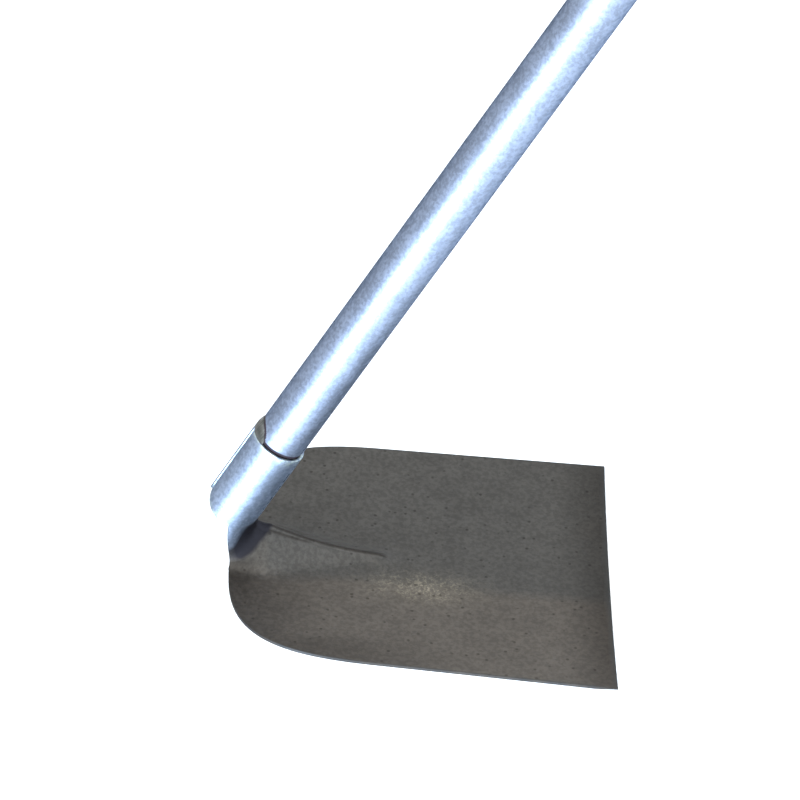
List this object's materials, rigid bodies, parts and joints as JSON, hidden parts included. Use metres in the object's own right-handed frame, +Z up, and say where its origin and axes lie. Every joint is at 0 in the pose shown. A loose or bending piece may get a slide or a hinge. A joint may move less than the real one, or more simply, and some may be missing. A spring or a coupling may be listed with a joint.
{
  "type": "draw hoe",
  "caption": "Long-handled draw hoe: wide pressed steel blade with a raised rib and rolled socket, set at an acute angle to a straight round steel tube handle.",
  "frame": {"origin": "middle of the footprint on the floor, with the hoe standing on its cutting edge and the far end of its handle", "axes": "+X from the blade along the floor towards the handle's far end, +Y across the blade, +Z up"},
  "size_m": [1.2182, 0.22, 0.2547],
  "materials": {
    "pressed_steel": "pressed sheet steel under a thin dull lacquer, mottled brown and blue-grey on the blade, bright zinc on the rolled socket",
    "zinc_tube": "bright zinc-coated steel tube with a fine diagonal grain",
    "weld_metal": "dull weld metal with burnt zinc and small bright spots",
    "black_plastic": "matte moulded black plastic"
  },
  "bodies": {
    "root": {"hoe_head": "pressed_steel", "handle_tube": "zinc_tube", "mouth_weld": "weld_metal", "end_plug": "black_plastic"}
  },
  "joints": []
}
